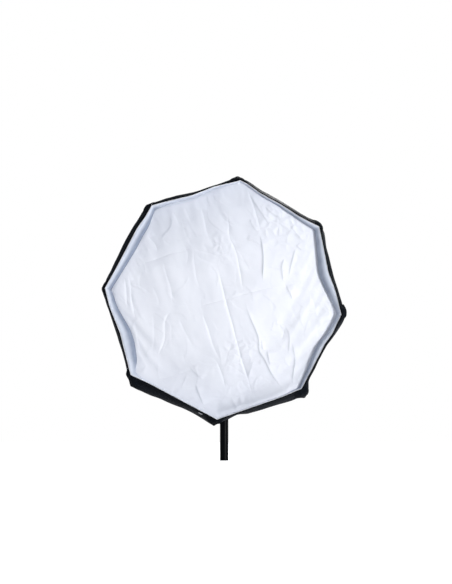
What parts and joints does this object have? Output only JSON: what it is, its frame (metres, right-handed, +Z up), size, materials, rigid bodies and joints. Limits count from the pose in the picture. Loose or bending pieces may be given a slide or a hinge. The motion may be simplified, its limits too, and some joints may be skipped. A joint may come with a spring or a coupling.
{
  "type": "studio softbox",
  "caption": "Octagonal fabric softbox with a recessed white diffuser, held on curved rods by a speed ring, with a tilting clamp bracket on a stand riser.",
  "frame": {"origin": "centre of the bayonet's mating plane, where the softbox meets its bracket", "axes": "+Z up along the stand riser, -Y the way the softbox faces, +X to the right seen from the front"},
  "size_m": [0.8094, 0.5393, 0.9367],
  "materials": {
    "spring_steel": "dark tempered spring steel",
    "black_plastic": "moulded, fine texture",
    "cover_nylon": "black coated nylon, faint sheen",
    "silver_fabric": "pebbled metallised lining",
    "black_binding": "folded webbing tape",
    "lip_fabric": "pale grey woven polyester",
    "white_tape": "woven tape",
    "black_elastic": "ribbed elastic",
    "baffle_fabric": "thin white nylon",
    "snap_steel": "nickel plated",
    "diffuser_fabric": "thin white diffusion nylon, creased",
    "black_anodised": "black anodised, satin",
    "bare_aluminium": "turned, satin",
    "steel": "zinc plated",
    "black_casting": "die-cast, with a black powder coat of fine orange peel",
    "rubber": "ribbed, matt",
    "washer_nylon": "natural nylon"
  },
  "bodies": {
    "riser": {"riser_tube": "black_anodised", "riser_spigot": "bare_aluminium", "riser_bush": "black_plastic"},
    "socket": {"stand_socket": "black_casting"},
    "stand_knob": {"stand_knob": "black_plastic"},
    "head": {"mount_ring": "black_casting", "bracket_arm": "black_casting", "arm_screws": "steel", "clamp_rail": "black_anodised", "rail_screws": "steel", "guide_rods": "steel", "tilt_bolt": "steel", "tilt_washers": "washer_nylon", "tilt_nut": "steel", "bayonet_insert": "bare_aluminium"},
    "tilt_lever": {"tilt_lever": "black_plastic", "lever_spring": "steel", "lever_cap": "black_plastic"},
    "shaft_knob": {"shaft_knob": "black_plastic"},
    "jaw_screw": {"clamp_screw": "steel", "clamp_knob": "black_plastic", "screw_collar": "steel"},
    "jaw_left": {"jaw_left": "black_casting", "jaw_pad_left": "rubber"},
    "jaw_right": {"jaw_right": "black_casting", "jaw_pad_right": "rubber"},
    "release_pin": {"release_pin": "steel"},
    "softbox": {"speedring": "black_anodised", "retaining_ring": "bare_aluminium", "ring_screws": "steel", "rod_1": "spring_steel", "rod_2": "spring_steel", "rod_3": "spring_steel", "rod_4": "spring_steel", "rod_5": "spring_steel", "rod_6": "spring_steel", "rod_7": "spring_steel", "rod_8": "spring_steel", "rod_caps": "black_plastic", "outer_cover": "cover_nylon", "silver_lining": "silver_fabric", "rim_binding": "black_binding", "corner_pockets": "black_binding", "front_lip": "lip_fabric", "label_tag": "white_tape", "ring_sleeve": "black_elastic", "inner_baffle": "baffle_fabric", "baffle_straps": "black_elastic", "baffle_snaps": "snap_steel", "front_diffuser": "diffuser_fabric", "diffuser_hem": "white_tape"},
    "roll_knob_left": {"roll_knob_left": "black_plastic"},
    "roll_knob_right": {"roll_knob_right": "black_plastic"}
  },
  "joints": [
    {"name": "pan", "type": "hinge", "parent": "riser", "child": "socket", "pos_m": [0, 0.085, -0.16], "axis": [0, 0, 1], "continuous": true},
    {"name": "stand_knob_turn", "type": "hinge", "parent": "socket", "child": "stand_knob", "pos_m": [-0.02, 0.085, -0.16], "axis": [-1, 0, 0], "continuous": true},
    {"name": "tilt", "type": "hinge", "parent": "socket", "child": "head", "pos_m": [0, 0.085, -0.095], "axis": [-1, 0, 0], "range_deg": [-30, 90]},
    {"name": "tilt_lever_turn", "type": "hinge", "parent": "head", "child": "tilt_lever", "pos_m": [0.034, 0.085, -0.095], "axis": [1, 0, 0], "range_deg": [0, 90]},
    {"name": "shaft_knob_turn", "type": "hinge", "parent": "head", "child": "shaft_knob", "pos_m": [-0.05, 0.085, -0.083], "axis": [-1, 0, 0], "continuous": true},
    {"name": "jaw_screw_turn", "type": "hinge", "parent": "head", "child": "jaw_screw", "pos_m": [0.078, 0.1, -0.048], "axis": [1, 0, 0], "range_deg": [0, 2890]},
    {"name": "jaw_left_slide", "type": "slide", "parent": "head", "child": "jaw_left", "axis": [1, 0, 0], "range_m": [0, 0.016]},
    {"name": "jaw_right_slide", "type": "slide", "parent": "head", "child": "jaw_right", "axis": [-1, 0, 0], "range_m": [0, 0.016]},
    {"name": "release_pull", "type": "slide", "parent": "head", "child": "release_pin", "axis": [0, 1, 0], "range_m": [0, 0.005]},
    {"name": "roll", "type": "hinge", "parent": "head", "child": "softbox", "pos_m": [0, 0, 0], "axis": [0, -1, 0], "continuous": true},
    {"name": "roll_knob_left_turn", "type": "hinge", "parent": "softbox", "child": "roll_knob_left", "pos_m": [-0.08607, -0.009, -0.02631], "axis": [-0.9563, 0, -0.2924], "continuous": true},
    {"name": "roll_knob_right_turn", "type": "hinge", "parent": "softbox", "child": "roll_knob_right", "pos_m": [0.08607, -0.009, 0.02631], "axis": [0.9563, 0, 0.2924], "continuous": true}
  ],
  "couplings": [
    {"joint": "jaw_screw_turn", "follows": "jaw_left_slide", "rad_per_m": 3141.6},
    {"joint": "jaw_right_slide", "follows": "jaw_left_slide", "ratio": 1}
  ]
}
